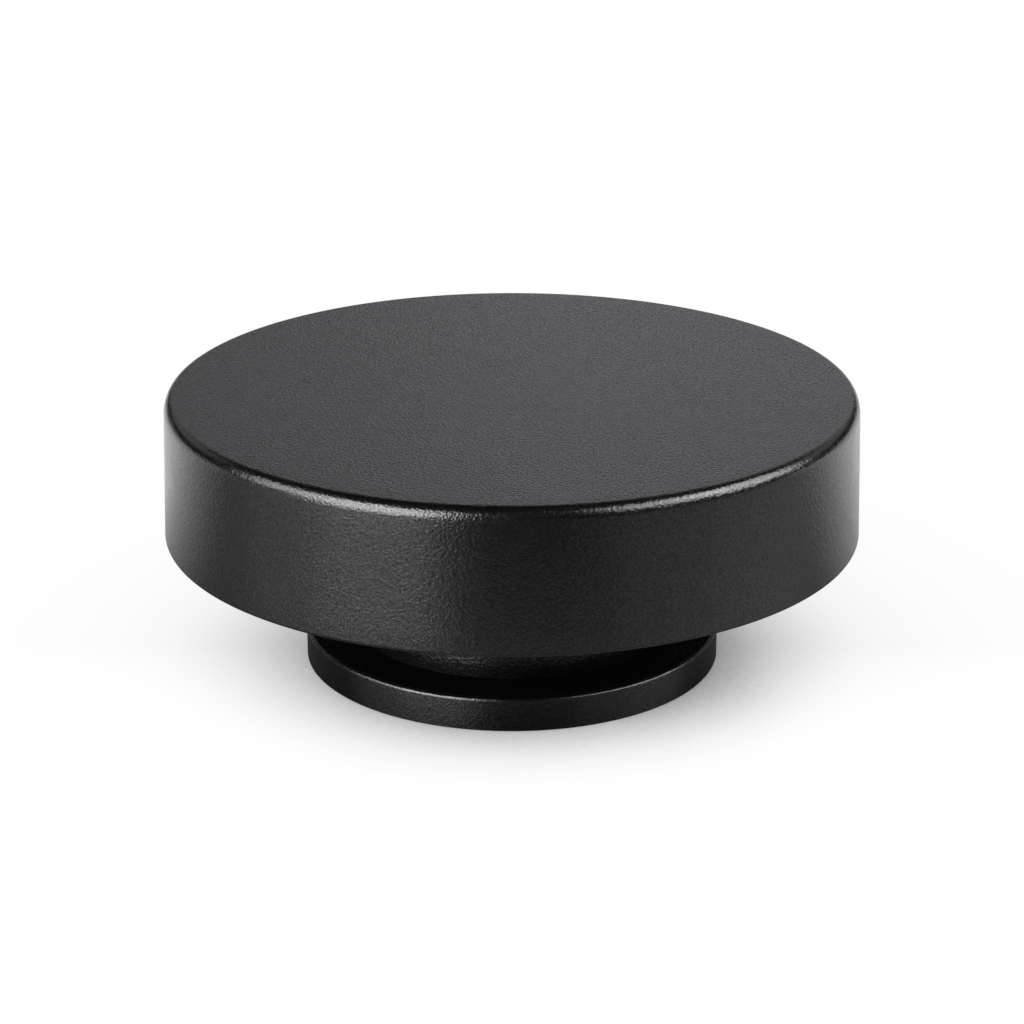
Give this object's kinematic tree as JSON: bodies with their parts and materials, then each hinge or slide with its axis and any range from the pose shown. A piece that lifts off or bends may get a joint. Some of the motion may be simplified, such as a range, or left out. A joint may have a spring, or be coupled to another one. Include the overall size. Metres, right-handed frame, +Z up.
{
  "type": "dealer button",
  "caption": "Blank black weighted dealer button: a thick round cap with a rounded rim on a narrow neck and a round foot.",
  "frame": {"origin": "on the table, under the centre of the rubber foot", "axes": "+Z up through the neck to the blank top face; the button is round, so +X and +Y are any two directions across it, with the neck's locating pins on the X axis"},
  "size_m": [0.06, 0.06, 0.024],
  "materials": {
    "grained_cap": "matte",
    "satin_plastic": "matte",
    "neck_plastic": "satin",
    "coated_foot": "satin",
    "foot_rubber": "matte",
    "black_screw": "satin",
    "brass_insert": "satin",
    "weight_steel": "satin",
    "pin_steel": "satin",
    "ring_rubber": "matte"
  },
  "bodies": {
    "root": {"cap_shell": "grained_cap", "under_plate": "satin_plastic", "neck_sleeve": "neck_plastic", "foot_plate": "coated_foot", "rubber_foot": "foot_rubber", "centre_screw": "black_screw", "under_plate_screws": "black_screw", "threaded_insert": "brass_insert", "cap_slug": "weight_steel", "neck_slug": "weight_steel", "locating_pins": "pin_steel", "damping_ring": "ring_rubber"}
  },
  "joints": []
}
